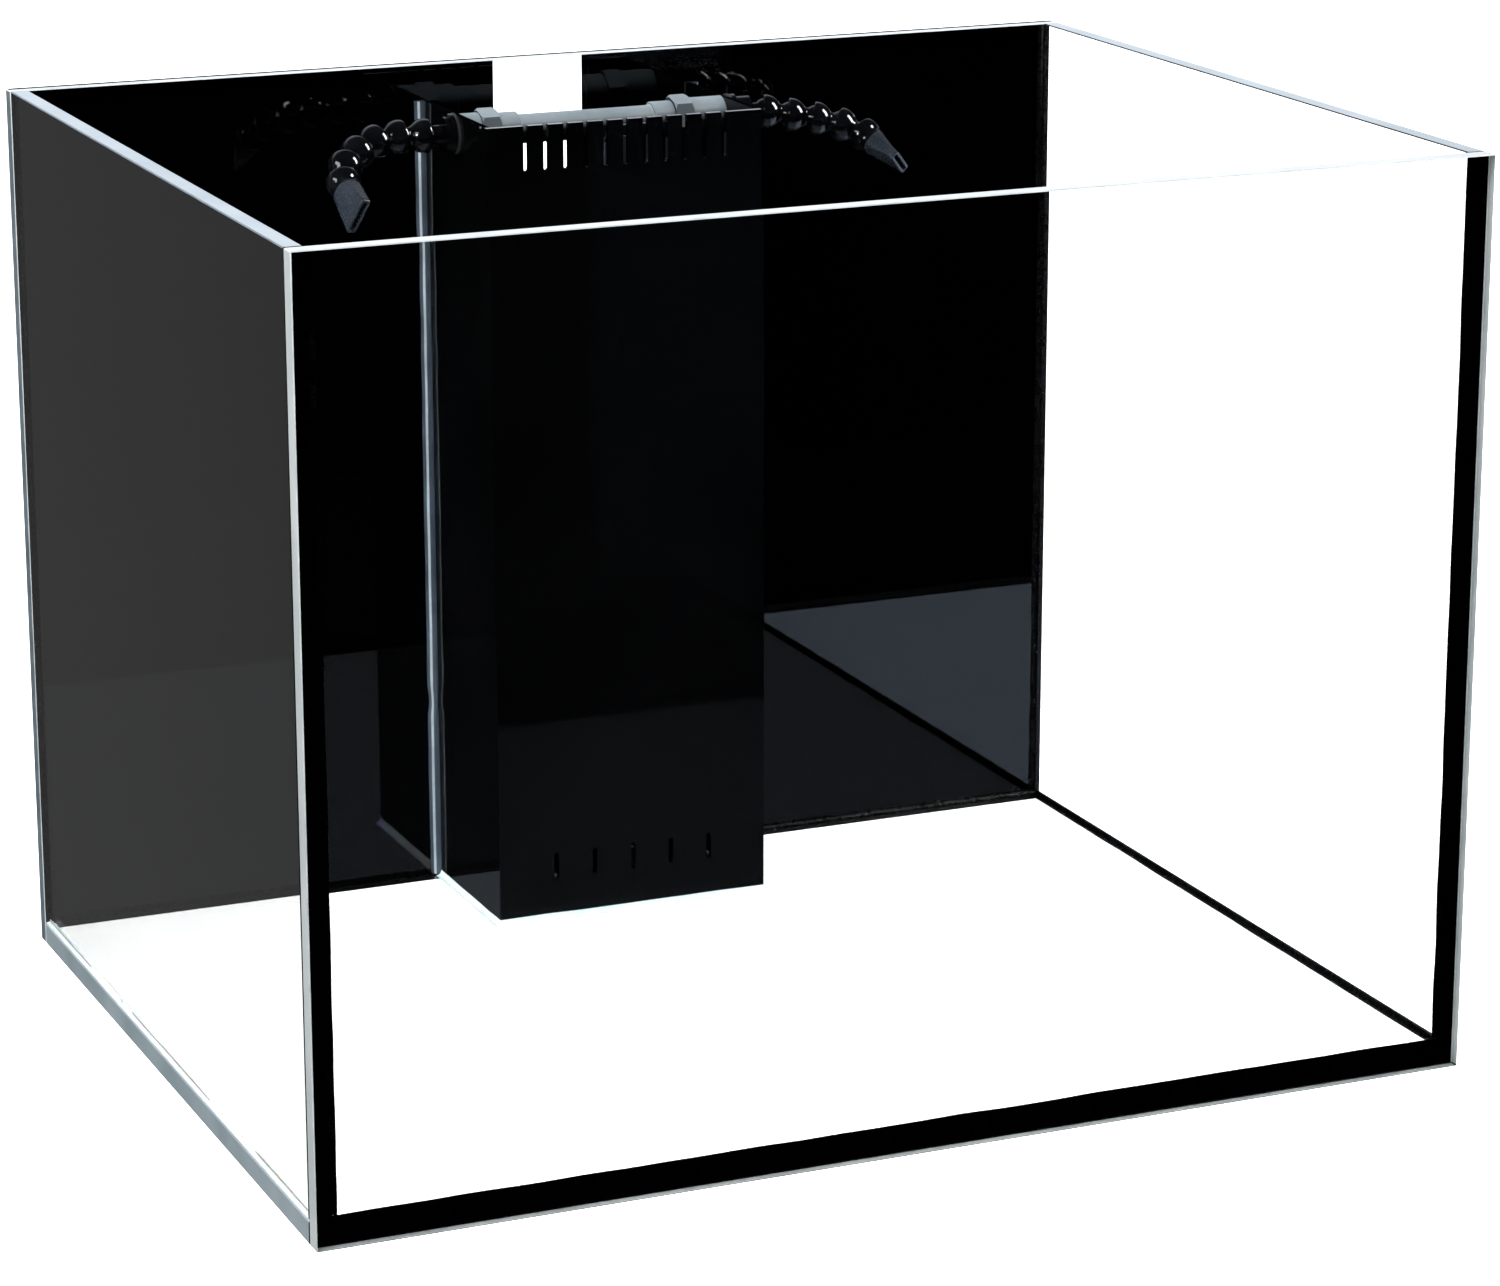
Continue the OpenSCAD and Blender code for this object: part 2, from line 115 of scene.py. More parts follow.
def procedural(name, dark, light, rough, drift, grain, bump, stretch=(1, 1, 1), **fixed):
    """A material whose colour drifts over patches and whose gloss and bump follow a finer grain.
    drift and grain are features per metre, and bump is the depth of the grain in millimetres."""
    made = bpy.data.materials.new(name)
    made.use_nodes = True
    tree = made.node_tree
    shader = tree.nodes["Principled BSDF"]
    patches = noise_of(tree, drift)
    fine = noise_of(tree, grain, 6.0, stretch)
    colour = blend_colour(tree, spread(tree, patches, 0, 1), dark, light)
    tree.links.new(colour, shader.inputs["Base Color"])
    tree.links.new(spread(tree, fine, *rough), shader.inputs["Roughness"])
    relief = node_of(tree, "ShaderNodeBump", Strength=1.0, Distance=bump * MM)
    tree.links.new(fine, relief.inputs["Height"])
    tree.links.new(relief.outputs["Normal"], shader.inputs["Normal"])
    for key, value in fixed.items():
        shader.inputs[key.replace("_", " ")].default_value = value
    return made


def float_glass():
    """Clear glass, faintly smudged, that lets light through to what stands behind it."""
    made = bpy.data.materials.new("float_glass")
    made.use_nodes = True
    tree = made.node_tree
    shader = tree.nodes["Principled BSDF"]
    for key, value in {"Transmission Weight": 1.0, "Roughness": 0.0, "IOR": 1.51}.items():
        shader.inputs[key].default_value = value
    smudges = spread(tree, noise_of(tree, 9, 5.0), 0, 1)
    tint = blend_colour(tree, smudges, (0.985, 0.997, 0.995), (1.0, 1.0, 1.0))
    tree.links.new(tint, shader.inputs["Base Color"])
    clear = node_of(tree, "ShaderNodeBsdfTransparent", Color=(0.93, 0.95, 0.95, 1))
    path = tree.nodes.new("ShaderNodeLightPath")
    mix = tree.nodes.new("ShaderNodeMixShader")
    tree.links.new(path.outputs["Is Shadow Ray"], mix.inputs["Fac"])
    tree.links.new(shader.outputs["BSDF"], mix.inputs[1])
    tree.links.new(clear.outputs["BSDF"], mix.inputs[2])
    tree.links.new(mix.outputs["Shader"], tree.nodes["Material Output"].inputs["Surface"])
    return made


glass = float_glass()
# Painted highlight: the pale colour on the front pane's polished edges and the back pane's top edge stands
# in for light caught by the glass
POLISHED_HIGHLIGHT = ((0.55, 0.60, 0.61), (0.70, 0.74, 0.74), (0.05, 0.16), 14, 900, 0.006)
edge_painted_highlight = procedural("edge_polished_painted_highlight", *POLISHED_HIGHLIGHT)
edge_highlight_backed = procedural("edge_polished_highlight_backed", *POLISHED_HIGHLIGHT)
# Other panes' polished edges: the glass's own blue-grey tint, lightened by painted light carried in from
# the floor
edge_tint_and_light = procedural(
    "edge_polished_tint_and_light", (0.28, 0.355, 0.385), (0.39, 0.46, 0.49), (0.05, 0.16), 14, 900, 0.006
)
edge_shaded = procedural("edge_shaded", (0.09, 0.12, 0.14), (0.15, 0.19, 0.22), (0.3, 0.5), 60, 2500, 0.03)
edge_ground = procedural(
    "edge_arris_ground", (0.55, 0.62, 0.63), (0.80, 0.85, 0.85), (0.35, 0.6), 60, 2500, 0.03
)
film_black = procedural(
    "film_black", (0.004, 0.0043, 0.0048), (0.008, 0.0085, 0.0095), (0.34, 0.48), 12, 350, 0.02,
    Specular_IOR_Level=0.35,
)
film_glued = procedural(
    "film_glued_side", (0.0006, 0.0007, 0.0008), (0.0012, 0.0013, 0.0015), (0.5, 0.6), 12, 350, 0.02,
    Specular_IOR_Level=0.0,
)
silicone_black = procedural(
    "silicone_black", (0.0008, 0.0008, 0.0009), (0.0018, 0.0018, 0.002), (0.2, 0.4), 25, 260, 0.06,
    Specular_IOR_Level=0.1,
)
silicone_clear = procedural(
    "silicone_clear", (0.80, 0.84, 0.86), (0.92, 0.94, 0.95), (0.12, 0.3), 30, 240, 0.05,
    Subsurface_Weight=0.3, Subsurface_Scale=0.004,
)
# Painted highlight: the pale band down the clear quarter-round strips behind the overflow box
silicone_painted_highlight = procedural(
    "silicone_painted_highlight", (0.22, 0.26, 0.285), (0.35, 0.40, 0.43), (0.15, 0.3), 22, 200, 0.05
)
silicone_slate = procedural(
    "silicone_slate", (0.03, 0.04, 0.055), (0.052, 0.068, 0.09), (0.1, 0.25), 22, 200, 0.04
)
acrylic_black = procedural(
    "acrylic_black", (0.0006, 0.0007, 0.0008), (0.0013, 0.0014, 0.0016), (0.02, 0.06), 10, 160, 0.001,
    stretch=(1, 1, 14), Specular_IOR_Level=0.2,
)
acrylic_cut = procedural(
    "acrylic_cut_edge", (0.15, 0.155, 0.17), (0.25, 0.26, 0.28), (0.2, 0.4), 40, 1500, 0.02,
    stretch=(14, 14, 1),
)
pvc_grey = procedural("pvc_grey", (0.19, 0.23, 0.255), (0.26, 0.305, 0.33), (0.28, 0.46), 35, 600, 0.02)
cement = procedural("solvent_cement", (0.30, 0.33, 0.34), (0.42, 0.44, 0.44), (0.05, 0.15), 90, 500, 0.02)
# Painted sheen: the slate colour on the nozzles' flat faces stands in for a reflection of the light
hose_painted_sheen = procedural(
    "hose_black_painted_sheen", (0.014, 0.018, 0.025), (0.024, 0.03, 0.04), (0.2, 0.3), 60, 900, 0.003,
    Specular_IOR_Level=0.35,
)
hose_black = procedural(
    "hose_black", (0.0012, 0.0013, 0.0017), (0.003, 0.0033, 0.0042), (0.03, 0.1), 60, 900, 0.003
)
rubber_black = procedural(
    "rubber_black", (0.012, 0.012, 0.012), (0.022, 0.022, 0.022), (0.6, 0.8), 50, 1200, 0.04
)
NEAR_BLACK = (0.006, 0.008, 0.012)
GLOSS = 0.45


def darken(material, output, channel, dark, plain):
    """Fades a material to a dull near black; on the pipes this is painted shade. It is fully faded where
    one channel of a geometry output, such as Z of Normal, has the value dark, and as it was where that has
    the value plain."""
    tree = material.node_tree
    shader = tree.nodes["Principled BSDF"]
    colour = shader.inputs["Base Color"].links[0].from_socket
    parts = tree.nodes.new("ShaderNodeSeparateXYZ")
    tree.links.new(tree.nodes.new("ShaderNodeNewGeometry").outputs[output], parts.inputs["Vector"])
    mix = tree.nodes.new("ShaderNodeMix")
    mix.data_type = "RGBA"
    mix.inputs["A"].default_value = (*NEAR_BLACK, 1)
    tree.links.new(colour, mix.inputs["B"])
    plainness = spread(tree, parts.outputs[channel], 0, 1, dark, plain)
    tree.links.new(plainness, mix.inputs["Factor"])
    tree.links.new(mix.outputs["Result"], shader.inputs["Base Color"])
    tree.links.new(spread(tree, plainness, 0, GLOSS, 0, 1), shader.inputs["Specular IOR Level"])


# Painted shade: pipes fade to near black on their sides and undersides, and are only pale where they face
# the open top of the overflow box; the film darkens the rear of the back pane's top edge
FILM_SHADE = 6 * MM
FACING_SIDE, FACING_UP = -0.05, 0.55
film_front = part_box("back_film")[0].y
darken(pvc_grey, "Normal", "Z", FACING_SIDE, FACING_UP)
darken(edge_highlight_backed, "Position", "Y", film_front - FILM_SHADE, film_front - FILM_SHADE - 0.1 * MM)


def dress(node, material):
    mesh = nodes[node].data
    mesh.materials.clear()
    mesh.materials.append(material)


for name in nodes:
    if name.endswith("_pane"):
        dress(name, glass)
    elif name == "back_film":
        dress(name, film_black)
    elif name == "seam_bottom_left" or "strip" in name or name == "overflow_base_bead":
        dress(name, silicone_clear)
    elif name.startswith("seam"):
        dress(name, silicone_black)
    elif name.startswith("overflow"):
        dress(name, acrylic_black)
    elif "gasket" in name:
        dress(name, rubber_black)
    elif name.startswith(("hose", "nozzle")):
        dress(name, hose_black)
    else:
        dress(name, pvc_grey)


def paint_faces(node, choose):
    """Gives each face of a CAD node the material that choose(normal, centre) names for it."""
    mesh = nodes[node].data
    for face in mesh.polygons:
        material = choose(face.normal, face.center)
        if material.name not in mesh.materials:
            mesh.materials.append(material)
        face.material_index = mesh.materials.find(material.name)


# The narrow faces of a pane are polished edges and the slanting ones between them are ground, but a
# face that is bonded shows the silicone or the film behind it
THIN_AXIS = {"front_pane": 1, "back_pane": 1, "left_pane": 0, "right_pane": 0, "bottom_pane": 2}
SQUARE_ON = 0.99
SLANTING = 0.5


def bonded(name, normal):
    """What an edge face of a pane is bonded to, or None where it is bare. The right pane's inner top arris
    gets black silicone's colour as painted shade.
    """
    inner_top = normal.z > SLANTING and normal.x < -SLANTING
    if name in ("left_pane", "right_pane", "bottom_pane") and abs(normal.y) > SLANTING:
        return silicone_black
    if name == "back_pane" and SLANTING < normal.y < SQUARE_ON:
        return film_glued
    if name == "front_pane" and -SQUARE_ON < normal.z < -SLANTING:
        return silicone_black
    # The bottom arris is bonded to black silicone; the inner top arris is not, and its black is painted
    # shade
    if name == "right_pane" and (normal.z < -SLANTING or inner_top):
        return silicone_black
    if name == "left_pane" and normal.z < -SLANTING:
        return silicone_clear
    return None


def special(name, normal):
    """The material of an edge face painted lighter or darker than the pane's others, as a painted highlight
    or painted shade, or None.
    """
    outer_top = normal.z > SLANTING and normal.x < -SLANTING
    if name == "back_pane" and normal.z > SQUARE_ON:
        return edge_highlight_backed
    if (name == "left_pane" and outer_top) or (name == "back_pane" and normal.x < -SQUARE_ON):
        return edge_shaded
    return None


for name, thin in THIN_AXIS.items():
    # The front pane's edges carry the painted highlight, and the other panes' edges their tint lightened by
    # painted light
    polished = edge_painted_highlight if name == "front_pane" else edge_tint_and_light

    def edge_material(normal, centre):
        if abs(normal[thin]) > SQUARE_ON:
            return glass
        bare = polished if name == "bottom_pane" or max(map(abs, normal)) > SQUARE_ON else edge_ground
        return special(name, normal) or bonded(name, normal) or bare

    paint_faces(name, edge_material)

paint_faces("back_film", lambda normal, centre: film_glued if normal.y < -SQUARE_ON else film_black)

# The comb of the overflow box has a sawn top edge, and the sharp corners of all three walls are broken
comb_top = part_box("overflow_front")[1].z - 1 * MM
paint_faces("overflow_front", lambda normal, centre: acrylic_cut if centre.z > comb_top else acrylic_black)
for name in ("overflow_front", "overflow_left", "overflow_right"):
    bevel = nodes[name].modifiers.new("broken_edges", "BEVEL")
    bevel.width = 0.3 * MM
    bevel.segments = 2
    bevel.limit_method = "ANGLE"
    bevel.angle_limit = math.radians(40)


# ---- Meshes built in code ----

X, Y, Z = Vector((1, 0, 0)), Vector((0, 1, 0)), Vector((0, 0, 1))


def piece(name, shape, material, stands_for, body="tank", sharp=35):
    """A new piece from (verts, faces) in metres, which stands for CAD nodes and rides on one body."""
    mesh = bpy.data.meshes.new(name)
    mesh.from_pydata(shape[0], [], shape[1])
    mesh.materials.append(material)
    for face in mesh.polygons:
        face.use_smooth = True
    mesh.set_sharp_from_angle(angle=math.radians(sharp))
    made = bpy.data.objects.new(name, mesh)
    bpy.context.scene.collection.objects.link(made)
    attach(made, body)
    if stands_for:
        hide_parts(*stands_for)
    return made


def skin(rings, closed=False):
    """A tube through equal rings of points, its ends joined to each other or capped."""
    count = len(rings[0])
    verts = [p for ring in rings for p in ring]
    faces = []
    for i in range(len(rings) - (0 if closed else 1)):
        a, b = i * count, (i + 1) % len(rings) * count
        faces += [(a + k, a + (k + 1) % count, b + (k + 1) % count, b + k) for k in range(count)]
    if not closed:
        faces.append(tuple(reversed(range(count))))
        faces.append(tuple(range(len(verts) - count, len(verts))))
    return verts, faces


def join(*shapes):
    """Several (verts, faces) as one."""
    verts, faces = [], []
    for more_verts, more_faces in shapes:
        start = len(verts)
        verts += more_verts
        faces += [tuple(k + start for k in face) for face in more_faces]
    return verts, faces


def block(lo, hi):
    corners = [Vector((x, y, z)) for z in (lo[2], hi[2]) for y in (lo[1], hi[1]) for x in (lo[0], hi[0])]
    return corners, [(0, 2, 3, 1), (4, 5, 7, 6), (0, 1, 5, 4), (2, 6, 7, 3), (0, 4, 6, 2), (1, 3, 7, 5)]


def outward(shape):
    """The same shape with its faces turned outward."""
    made = bmesh.new()
    points = [made.verts.new(p) for p in shape[0]]
    for face in shape[1]:
        made.faces.new([points[k] for k in face])
    bmesh.ops.recalc_face_normals(made, faces=made.faces)
    made.verts.index_update()
    faces = [tuple(v.index for v in face.verts) for face in made.faces]
    made.free()
    return shape[0], faces


# ---- Silicone, tooled by hand, so that its width drifts along each seam ----

BEAD = 4 * MM
FEATHER = 0.3 * MM
BOND = 1 * MM
STATION = 7 * MM
inner_left, inner_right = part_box("left_pane")[1].x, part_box("right_pane")[0].x
inner_front, inner_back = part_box("front_pane")[1].y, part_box("back_pane")[0].y
floor_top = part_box("bottom_pane")[1].z
box_lo, box_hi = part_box("overflow_front")
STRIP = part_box("overflow_strip_right")[1].x - box_hi.x
ACRYLIC = box_hi.y - box_lo.y


def cove(size):
    """Concave fillet section with its corner at the origin, as (leg a, leg b)."""
    radius = size - FEATHER
    arc = [math.radians(-90 - 90 * k / 9) for k in range(10)]
    curve = [(size + radius * math.cos(a), size + radius * math.sin(a)) for a in arc]
    return [(0, 0), (size, 0), *curve, (0, size)]


def quarter(size):
    """Convex quarter-round section with its corner at the origin."""
    arc = [math.radians(9 * k) for k in range(11)]
    return [(0, 0)] + [(size * math.cos(a), size * math.sin(a)) for a in arc]


def run(start, end, leg_a):
    """Stations from start to end, one every STATION or so."""
    start, end = Vector(start), Vector(end)
    count = max(2, round((end - start).length / STATION))
    return [(start.lerp(end, k / count), leg_a) for k in range(count + 1)]


def swept(stations, leg_b, section, size, pinch=None):
    """Sweeps a section along stations of (point, direction of leg a). It narrows at the height pinch."""
    rings = []
    for point, leg_a in stations:
        scale = 1 + 0.14 * noise.noise(point / 0.035)
        if pinch:
            scale *= 1 - 0.25 * math.exp(-(((point.z - pinch) / (6 * MM)) ** 2))
        rings.append([point + leg_a * a + leg_b * b for a, b in section(size * scale)])
    return outward(skin(rings))


def seam(node, stations, leg_b, bond_lo, bond_hi, material, finish):
    shape = join(*[swept(part, leg_b, cove, BEAD) for part in stations], block(bond_lo, bond_hi))
    piece(node + "_tooled", shape, material, [node])


for node in [n for n in nodes if n.startswith("seam")]:
    lo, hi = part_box(node)
    where, side = node.split("_")[1:]
    black = node != "seam_bottom_left"
    look = (silicone_black, "black_silicone") if black else (silicone_clear, "clear_silicone")
    if where != "bottom":
        x, leg_x = (inner_left, X) if side == "left" else (inner_right, -X)
        y, leg_y = (inner_front, Y) if where == "front" else (inner_back, -Y)
        bond_x = (lo.x, x) if side == "left" else (x, hi.x)
        bond_y = sorted((y, y + leg_y.y * BOND))
        stations = [run((x, y, floor_top + BEAD), (x, y, hi.z), leg_x)]
        seam(node, stations, leg_y, (bond_x[0], bond_y[0], lo.z), (bond_x[1], bond_y[1], hi.z), *look)
    elif side in ("front", "back"):
        y, leg_y = (inner_front, Y) if side == "front" else (inner_back, -Y)
        bond_y = sorted((y, y + leg_y.y * BOND))
        stops = [inner_left, inner_right]
        if side == "back":
            reach = box_hi.x + STRIP
            stops = [inner_left, -reach, ACRYLIC + box_lo.x, box_hi.x - ACRYLIC, reach, inner_right]
        spans = zip(stops[::2], stops[1::2])
        stations = [run((a, y, floor_top), (b, y, floor_top), leg_y) for a, b in spans]
        seam(node, stations, Z, (lo.x, bond_y[0], lo.z), (hi.x, bond_y[1], floor_top), *look)
    else:
        x, leg_x = (inner_left, X) if side == "left" else (inner_right, -X)
        bond_x = (lo.x, x) if side == "left" else (x, hi.x)
        stations = [run((x, inner_front + BEAD, floor_top), (x, inner_back - BEAD, floor_top), leg_x)]
        bond_lo = (bond_x[0], inner_front + BOND, floor_top)
        bond_hi = (bond_x[1], inner_back - BOND, floor_top + BOND)
        seam(node, stations, Z, bond_lo, bond_hi, *look)

# Clear bead round the foot of the overflow box, turning its two front corners
foot = run((box_lo.x, inner_back - STRIP, floor_top), (box_lo.x, box_lo.y, floor_top), -X)
for corner, turn in (((box_lo.x, box_lo.y), 180), ((box_hi.x, box_lo.y), 270)):
    for k in range(1, 6):
        angle = math.radians(turn + 15 * k)
        foot.append((Vector((*corner, floor_top)), Vector((math.cos(angle), math.sin(angle), 0))))
    if turn == 180:
        foot += run((box_lo.x, box_lo.y, floor_top), (box_hi.x, box_lo.y, floor_top), -Y)
foot += run((box_hi.x, box_lo.y, floor_top), (box_hi.x, inner_back - STRIP, floor_top), X)
wall_foot = box_lo.z
bonds = [
    block((box_lo.x, box_lo.y, floor_top), (box_hi.x, box_lo.y + ACRYLIC, wall_foot)),
    block((box_lo.x, box_lo.y + ACRYLIC, floor_top), (box_lo.x + ACRYLIC, inner_back, wall_foot)),
    block((box_hi.x - ACRYLIC, box_lo.y + ACRYLIC, floor_top), (box_hi.x, inner_back, wall_foot)),
]
foot_bead = join(swept(foot, Z, cove, BEAD), *bonds)
piece("overflow_base_bead_tooled", foot_bead, silicone_clear, ["overflow_base_bead"])

# Quarter-round strips behind the box: clear, so dark like the walls behind them, with a painted highlight
# on the band of faces leaning between two angles
PINCH_HEIGHT = 0.145
HIGHLIGHT_LOW, HIGHLIGHT_HIGH = 33, 55
for side, x, leg in (("left", box_lo.x, -X), ("right", box_hi.x, X)):
    stations = run((x, inner_back, wall_foot), (x, inner_back, box_hi.z), leg)
    rod = swept(stations, -Y, quarter, STRIP, PINCH_HEIGHT)
    behind = sorted((x, x - leg.x * ACRYLIC))
    bond = block((behind[0], inner_back - BOND, wall_foot), (behind[1], inner_back, box_hi.z))
    node = "overflow_strip_" + side
    made = piece(node + "_tooled", join(rod, bond), silicone_painted_highlight, [node], sharp=60)
    made.data.materials.append(silicone_slate)
    for face in made.data.polygons:
        turn = math.degrees(math.atan2(abs(face.normal.y), abs(face.normal.x)))
        face.material_index = 0 if HIGHLIGHT_LOW < turn < HIGHLIGHT_HIGH else 1


# ---- Ball-and-socket hose ----

TURNS = 72
PITCH = 18.0
SHELL, BALL, GAP, BORE, NECK = 11.8, 9.3, 0.3, 5.2, 6.7
RIM, CUT = 3.0, 6.5
NOZZLE, SHOULDER, FLAT_START = 36.0, 7.0, 10.0
MOUTH_W, MOUTH_T, MOUTH_WALL = 28.0, 7.0, 2.0
MOUTH_TURN = {"left": -15, "right": 40}
PARTING = 0.12


def arc_points(centre, radius, start, end, count):
    """Points (r, z) on a circle about (0, centre), by height angle in degrees."""
    angles = [math.radians(start + (end - start) * k / count) for k in range(count + 1)]
    return [(radius * math.cos(a), centre + radius * math.sin(a)) for a in angles]


def height_angle(z, radius):
    return math.degrees(math.asin(z / radius))


def width_angle(r, radius):
    return math.degrees(math.acos(r / radius))


def turned(profile, parting):
    """Rings of a closed (r, z) profile turned about Z. The points before parting carry a mould line."""
    rings = []
    for i, (r, z) in enumerate(profile):
        ring = []
        for k in range(TURNS):
            angle = math.tau * k / TURNS
            out = r + (PARTING if i < parting and k % (TURNS // 2) == 0 else 0)
            ring.append(Vector((out * math.cos(angle), out * math.sin(angle), z)))
        rings.append(ring)
    return rings


def socket_outside():
    """Rim and round shell of a socket, up to its shoulder."""
    lip = [(SHELL - 0.95, -RIM), (SHELL - 0.5, -RIM + 0.15)]
    return lip + arc_points(0, SHELL, height_angle(-RIM + 0.6, SHELL), width_angle(NECK + 2.6, SHELL), 12)


def cavity():
    """Inside of a socket, from the water way down to the rim."""
    radius = BALL + GAP
    inside = arc_points(0, radius, width_angle(BORE, radius), height_angle(-RIM + 0.5, radius), 12)
    return inside + [(radius - 0.25, -RIM)]


def link():
    """One hose link with its socket at the origin and its ball PITCH above it."""
    shoulder = [(NECK + 1.4, SHELL * 0.74), (NECK + 0.5, SHELL * 0.81), (NECK, SHELL * 0.88)]
    foot_of_ball = width_angle(NECK, BALL)
    ball = arc_points(PITCH, BALL, -foot_of_ball, height_angle(CUT - 0.4, BALL), 14)
    outside = socket_outside() + shoulder + ball
    end = [(BALL * 0.71 - 0.5, PITCH + CUT), (BORE + 0.4, PITCH + CUT), (BORE, PITCH + CUT - 0.4)]
    return outward(skin(turned(outside + end + cavity(), len(outside)), closed=True))


def oval(half_x, half_y, squareness, z, turn):
    """A ring that runs from an ellipse to a rounded rectangle as squareness grows from 2."""
    ring = []
    for k in range(TURNS):
        angle = math.tau * k / TURNS
        c, s = math.cos(angle), math.sin(angle)
        x = math.copysign(half_x * abs(c) ** (2 / squareness), c)
        y = math.copysign(half_y * abs(s) ** (2 / squareness), s)
        ring.append(Matrix.Rotation(turn, 3, "Z") @ Vector((x, y, z)))
    return ring


def nozzle(turn):
    """Flat nozzle: the socket runs out into a wide, thin mouth."""
    outside = [p for p in socket_outside() if p[1] < SHOULDER - 0.5]
    rings = [[Matrix.Rotation(turn, 3, "Z") @ p for p in ring] for ring in turned(outside, len(outside))]
    start = SHELL * 0.83
    steps = 16
    for k in range(steps + 1):
        t = k / steps
        z = SHOULDER + (NOZZLE - 2 - SHOULDER) * t
        wide = start + (MOUTH_W / 2 - start) * (0.65 * t + 0.35 * t * t)
        thin = start + (MOUTH_T / 2 - start) * (1.25 * t - 0.25 * t * t)
        rings.append(oval(thin, wide, 2 + 5 * t, z, turn))
    lip = ((0, NOZZLE - 0.4), (0.4, NOZZLE))
    rings += [oval(MOUTH_T / 2 - cut, MOUTH_W / 2 - cut, 7, z, turn) for cut, z in lip]
    hole_t, hole_w = MOUTH_T / 2 - MOUTH_WALL, MOUTH_W / 2 - MOUTH_WALL
    rings += [oval(hole_t + cut, hole_w + cut, 7, z, turn) for cut, z in ((0.3, NOZZLE), (0, NOZZLE - 0.3))]
    for k in range(1, 9):
        t = k / 8
        z = NOZZLE - 0.3 + (SHOULDER + 1.5 - NOZZLE) * t
        rings.append(oval(hole_t + (BORE - hole_t) * t, hole_w + (BORE - hole_w) * t, 7 - 5 * t, z, turn))
    inside = turned(cavity(), 0)
    rings += [[Matrix.Rotation(turn, 3, "Z") @ p for p in ring] for ring in inside]
    return outward(skin(rings, closed=True))


def placed(shape, place):
    return [place @ (p * MM) for p in shape[0]], shape[1]


for side in ("left", "right"):
    chain = [j for j in frame["joints"] if side in j["child"]]
    for i, joint in enumerate(chain):
        here, axis = Vector(joint["pos_m"]), Vector(joint["axis"]).normalized()
        if i + 1 < len(chain):
            along = (Vector(chain[i + 1]["pos_m"]) - here).normalized()
        else:
            bend = 24 - joint["range_deg"][1]
            along = Matrix.Rotation(math.radians(bend), 3, axis) @ along
        turn = Matrix((axis.cross(along), axis, along)).transposed().to_4x4()
        place = Matrix.Translation(here) @ turn
        last = joint is chain[-1]
        shape = nozzle(math.radians(MOUTH_TURN[side])) if last else link()
        node = joint["child"]
        shape = placed(shape, place)
        made = piece(
            node + "_moulded", shape, hose_black, [node], body=node, sharp=50
        )
        # The flat of the nozzle gets the painted sheen, the socket stays black
        if last:
            made.data.materials.append(hose_painted_sheen)
            for face in made.data.polygons:
                face.material_index = 1 if (face.center - here) @ along > FLAT_START * MM else 0

# ---- Solvent cement squeezed out where the pipe enters its fittings ----

pipe_lo, pipe_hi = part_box("return_pipe")
pipe_middle = (pipe_lo + pipe_hi) / 2
pipe_r = (pipe_hi.z - pipe_lo.z) / 2
left_face, right_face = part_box("adaptor_left")[1].x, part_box("adaptor_right")[0].x
for side, face_x, way in (("left", left_face, X), ("right", right_face, -X)):
    centre = Vector((face_x, pipe_middle.y, pipe_middle.z))
    around = []
    for k in range(TURNS):
        angle = math.tau * k / TURNS
        out = Vector((0, math.cos(angle), math.sin(angle)))
        size = 0.9 * MM * (1 + 0.5 * noise.noise(out * 2.3 + way * 4))
        foot_point = centre + out * pipe_r
        around.append([foot_point + out * a + way * b for a, b in cove(size)])
    piece("cement_ring_" + side, outward(skin(around, closed=True)), cement, [])

# ---- Floor ----

front_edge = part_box("front_pane")[0].y
left_edge, right_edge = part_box("left_pane")[0].x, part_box("right_pane")[1].x
back_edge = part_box("back_film")[1].y
FLOOR_REACH = 9.0
FLOOR_LIGHT = 2.2


def bounced(tree, *depths):
    """1 once a ray has bounced in one of the ways named, and 0 before."""
    path = tree.nodes.new("ShaderNodeLightPath")
    total = tree.nodes.new("ShaderNodeMath")
    total.inputs[1].default_value = 0
    for socket, depth in zip(total.inputs, depths):
        tree.links.new(path.outputs[depth], socket)
    once = tree.nodes.new("ShaderNodeMath")
    once.operation = "GREATER_THAN"
    once.inputs[1].default_value = 0.5
    tree.links.new(total.outputs["Value"], once.inputs[0])
    return once.outputs["Value"]


def floor_material(name, mirrored):
    """Pale floor. mirrored is the colour that it shows in the glass and the acrylic."""
    made = bpy.data.materials.new(name)
    made.use_nodes = True
    tree = made.node_tree
    shader = tree.nodes["Principled BSDF"]
    shader.inputs["Base Color"].default_value = (0.25, 0.25, 0.25, 1)
    shader.inputs["Roughness"].default_value = 0.8
    shader.inputs["Specular IOR Level"].default_value = 0.1
    shader.inputs["Emission Color"].default_value = (1, 1, 1, 1)
    shader.inputs["Emission Strength"].default_value = FLOOR_LIGHT
    dim = node_of(tree, "ShaderNodeEmission", Color=(*mirrored, 1))
    mix = tree.nodes.new("ShaderNodeMixShader")
    tree.links.new(bounced(tree, "Glossy Depth", "Diffuse Depth"), mix.inputs["Fac"])
    tree.links.new(shader.outputs["BSDF"], mix.inputs[1])
    tree.links.new(dim.outputs["Emission"], mix.inputs[2])
    tree.links.new(mix.outputs["Shader"], tree.nodes["Material Output"].inputs["Surface"])
    made.cycles.emission_sampling = "NONE"
    return made


def stage_patch(name, x0, x1, y0, y1, height, material, lean=0):
    """A level rectangle of the stage. lean moves its rear right corner outward."""
    mesh = bpy.data.meshes.new(name)
    mesh.from_pydata([(x0, y0, 0), (x1, y0, 0), (x1 + lean, y1, 0), (x0, y1, 0)], [], [(0, 1, 2, 3)])
    mesh.materials.append(material)
    made = bpy.data.objects.new(name, mesh)
    made.location.z = height
    bpy.context.scene.collection.objects.link(made)


